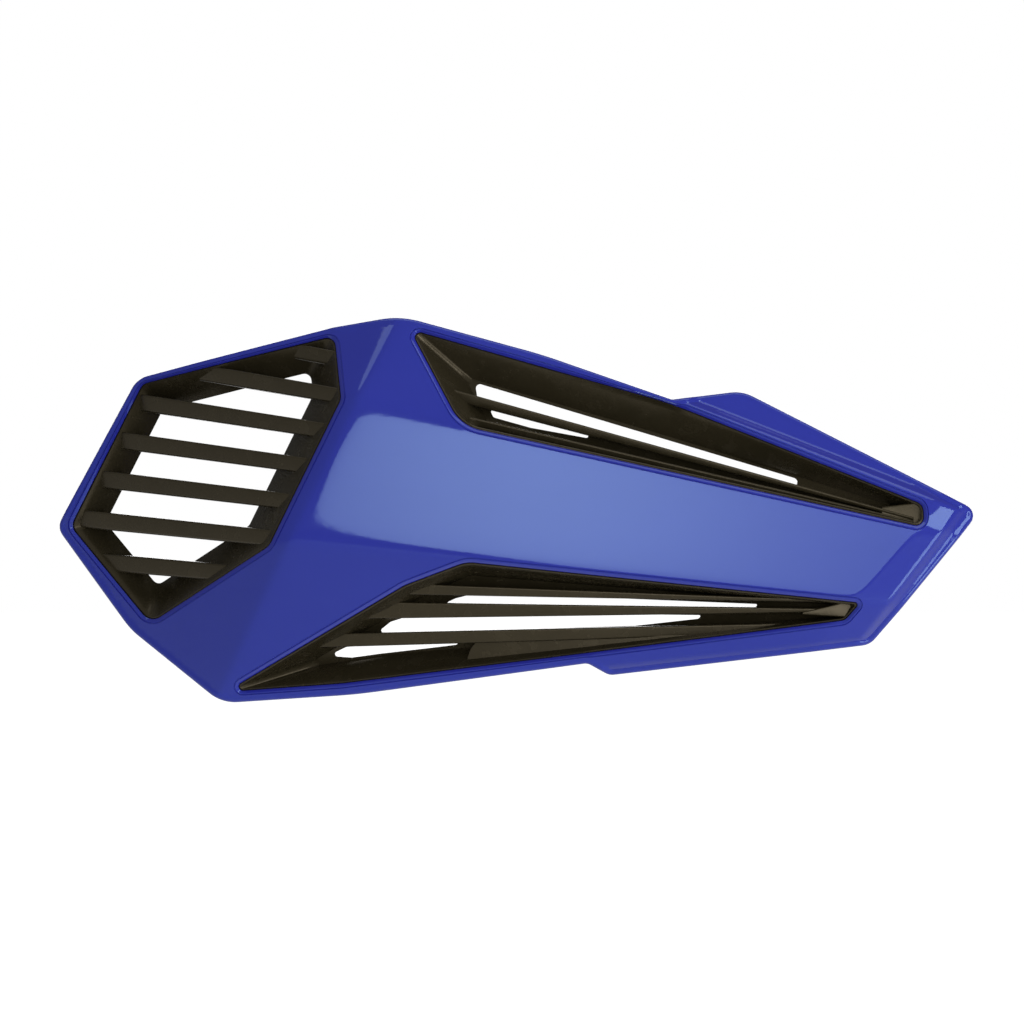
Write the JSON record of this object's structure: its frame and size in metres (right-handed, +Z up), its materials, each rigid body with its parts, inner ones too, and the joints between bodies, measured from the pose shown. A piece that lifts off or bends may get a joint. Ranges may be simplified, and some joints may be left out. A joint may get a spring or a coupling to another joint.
{
  "type": "motorcycle hand guard",
  "caption": "Folded plastic hand guard for a motorcycle handlebar, with louvred air vents and threaded bosses behind for its mounting arm.",
  "frame": {"origin": "midway between the two threaded inserts, on the seat face where the mounting arm bolts on", "axes": "+Y back along the insert bores towards the rider, +X along the guard's length from the outer end to the inner end, +Z up"},
  "size_m": [0.2515, 0.0624, 0.1052],
  "materials": {
    "shell_plastic": "glossy blue injection-moulded polypropylene",
    "insert_plastic": "satin black injection-moulded polypropylene",
    "brass": "plain machined brass",
    "screw_steel": "bright zinc plate"
  },
  "bodies": {
    "root": {"shell": "shell_plastic", "side_vent_insert": "insert_plastic", "upper_vent_insert": "insert_plastic", "lower_vent_insert": "insert_plastic", "threaded_insert_1": "brass", "threaded_insert_2": "brass", "side_vent_screw_1": "screw_steel", "side_vent_screw_2": "screw_steel", "side_vent_screw_3": "screw_steel", "side_vent_screw_4": "screw_steel", "upper_vent_screw_1": "screw_steel", "upper_vent_screw_2": "screw_steel", "upper_vent_screw_3": "screw_steel", "lower_vent_screw_1": "screw_steel", "lower_vent_screw_2": "screw_steel", "lower_vent_screw_3": "screw_steel"}
  },
  "joints": []
}
